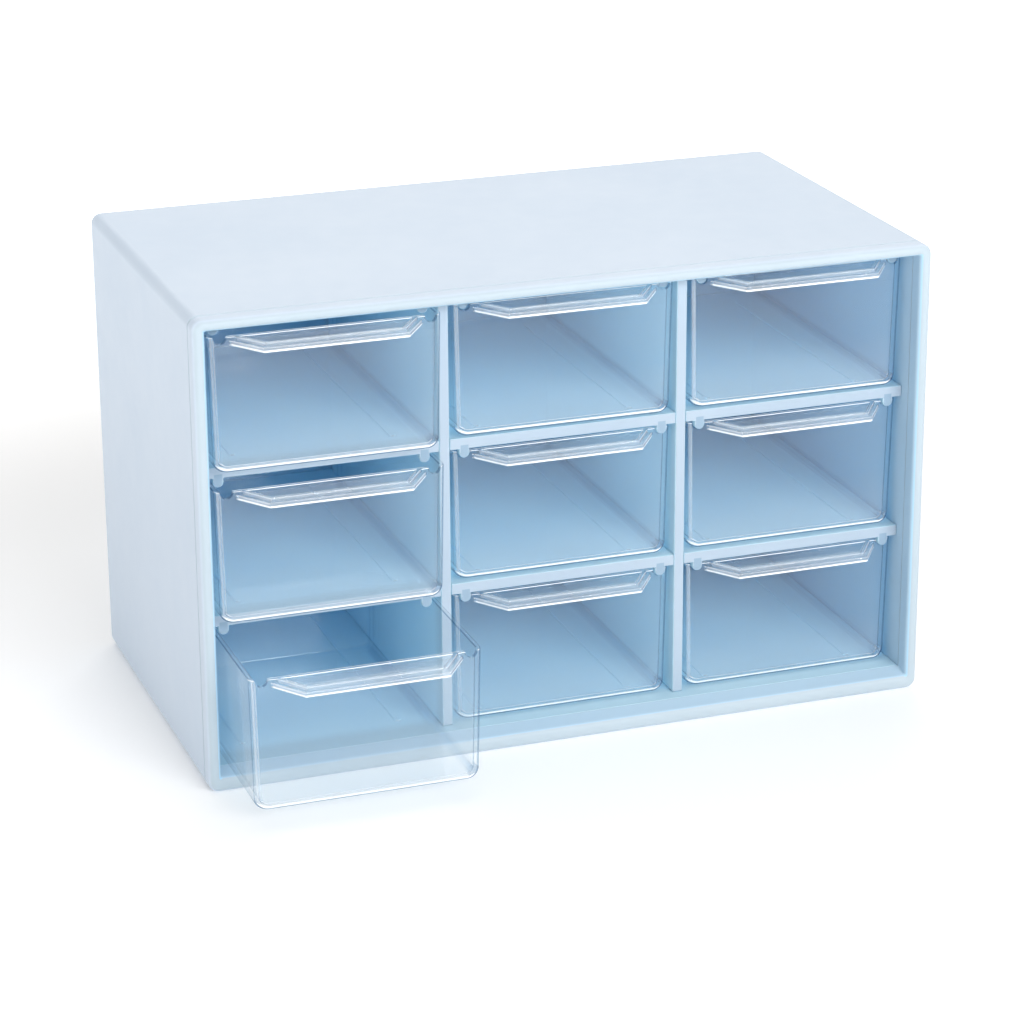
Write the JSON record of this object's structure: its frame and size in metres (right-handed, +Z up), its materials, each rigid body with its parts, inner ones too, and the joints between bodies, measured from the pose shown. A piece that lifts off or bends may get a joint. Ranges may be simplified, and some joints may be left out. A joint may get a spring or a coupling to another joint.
{
  "type": "parts organizer",
  "caption": "Desktop parts organizer: a rounded plastic cabinet with a grid of clear pull-out drawers, each with a ledge handle, for small parts.",
  "frame": {"origin": "centre of the cabinet's base, on the surface that it stands on", "axes": "+X along the cabinet's width, to the right as seen from the front; +Y towards the back, so drawers open along -Y; +Z up"},
  "size_m": [0.23, 0.1677, 0.145],
  "materials": {
    "cabinet_plastic": "satin injection-moulded plastic, pastel blue",
    "drawer_plastic": "clear polished plastic with a faint blue tint"
  },
  "bodies": {
    "cabinet": {"outer_shell": "cabinet_plastic", "front_rim": "cabinet_plastic", "back_panel": "cabinet_plastic", "grid_top_board": "cabinet_plastic", "grid_bottom_board": "cabinet_plastic", "divider_left": "cabinet_plastic", "divider_right": "cabinet_plastic", "shelf_lower_left": "cabinet_plastic", "shelf_lower_middle": "cabinet_plastic", "shelf_lower_right": "cabinet_plastic", "shelf_upper_left": "cabinet_plastic", "shelf_upper_middle": "cabinet_plastic", "shelf_upper_right": "cabinet_plastic"},
    "drawer_lower_left": {"drawer_lower_left": "drawer_plastic"},
    "drawer_lower_middle": {"drawer_lower_middle": "drawer_plastic"},
    "drawer_lower_right": {"drawer_lower_right": "drawer_plastic"},
    "drawer_centre_left": {"drawer_centre_left": "drawer_plastic"},
    "drawer_centre_middle": {"drawer_centre_middle": "drawer_plastic"},
    "drawer_centre_right": {"drawer_centre_right": "drawer_plastic"},
    "drawer_upper_left": {"drawer_upper_left": "drawer_plastic"},
    "drawer_upper_middle": {"drawer_upper_middle": "drawer_plastic"},
    "drawer_upper_right": {"drawer_upper_right": "drawer_plastic"}
  },
  "joints": [
    {"name": "lower_left_slide", "type": "slide", "parent": "cabinet", "child": "drawer_lower_left", "axis": [0, -1, 0], "range_m": [-0.042, 0.062]},
    {"name": "lower_middle_slide", "type": "slide", "parent": "cabinet", "child": "drawer_lower_middle", "axis": [0, -1, 0], "range_m": [0, 0.104]},
    {"name": "lower_right_slide", "type": "slide", "parent": "cabinet", "child": "drawer_lower_right", "axis": [0, -1, 0], "range_m": [0, 0.104]},
    {"name": "centre_left_slide", "type": "slide", "parent": "cabinet", "child": "drawer_centre_left", "axis": [0, -1, 0], "range_m": [-0.0105, 0.0935]},
    {"name": "centre_middle_slide", "type": "slide", "parent": "cabinet", "child": "drawer_centre_middle", "axis": [0, -1, 0], "range_m": [0, 0.104]},
    {"name": "centre_right_slide", "type": "slide", "parent": "cabinet", "child": "drawer_centre_right", "axis": [0, -1, 0], "range_m": [0, 0.104]},
    {"name": "upper_left_slide", "type": "slide", "parent": "cabinet", "child": "drawer_upper_left", "axis": [0, -1, 0], "range_m": [-0.009, 0.095]},
    {"name": "upper_middle_slide", "type": "slide", "parent": "cabinet", "child": "drawer_upper_middle", "axis": [0, -1, 0], "range_m": [-0.002, 0.102]},
    {"name": "upper_right_slide", "type": "slide", "parent": "cabinet", "child": "drawer_upper_right", "axis": [0, -1, 0], "range_m": [-0.0012, 0.1028]}
  ]
}
